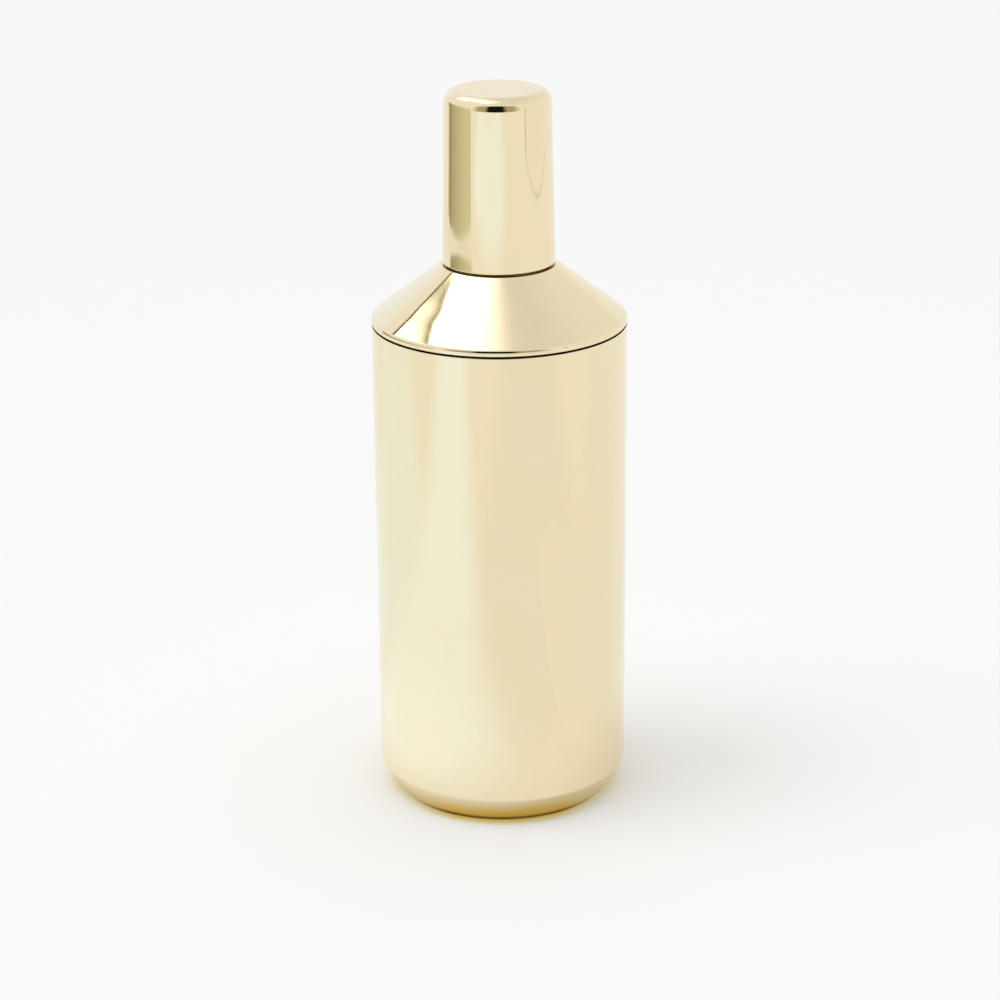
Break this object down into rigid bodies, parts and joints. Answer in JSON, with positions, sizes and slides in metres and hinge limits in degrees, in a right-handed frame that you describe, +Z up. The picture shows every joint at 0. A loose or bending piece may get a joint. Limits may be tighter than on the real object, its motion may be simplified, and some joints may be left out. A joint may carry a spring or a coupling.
{
  "type": "cocktail shaker",
  "caption": "Insulated cocktail shaker with a conical strainer lid and a cap that doubles as a measure.",
  "frame": {"origin": "centre of the foot ring, on the surface that the shaker stands on", "axes": "+Z up along the axis that every piece is turned about; X and Y are equal"},
  "size_m": [0.084, 0.084, 0.241],
  "materials": {
    "polished_shell": "mirror polished, plated in pale gold",
    "foot_plate": "satin, plated in pale gold",
    "inner_steel": "spun satin",
    "turned_steel": "fine turned",
    "silicone": "matte translucent silicone"
  },
  "bodies": {
    "tumbler": {"outer_shell": "polished_shell", "inner_cup": "inner_steel", "base_plate": "foot_plate"},
    "collar_seal": {"collar_seal": "silicone"},
    "lid": {"shoulder_shell": "polished_shell", "lid_collar": "turned_steel", "pour_neck": "turned_steel", "strainer_cup": "inner_steel"},
    "neck_seal": {"neck_seal": "silicone"},
    "cap": {"cap_shell": "polished_shell", "measure_cup": "inner_steel"}
  },
  "joints": [
    {"name": "lid_lift", "type": "slide", "parent": "tumbler", "child": "collar_seal", "axis": [0, 0, 1], "range_m": [0, 0.05]},
    {"name": "lid_turn", "type": "hinge", "parent": "collar_seal", "child": "lid", "pos_m": [0, 0, 0.15], "axis": [0, 0, 1], "continuous": true},
    {"name": "cap_turn", "type": "hinge", "parent": "lid", "child": "neck_seal", "pos_m": [0, 0, 0.1986], "axis": [0, 0, 1], "continuous": true},
    {"name": "cap_lift", "type": "slide", "parent": "neck_seal", "child": "cap", "axis": [0, 0, 1], "range_m": [0, 0.05]}
  ]
}
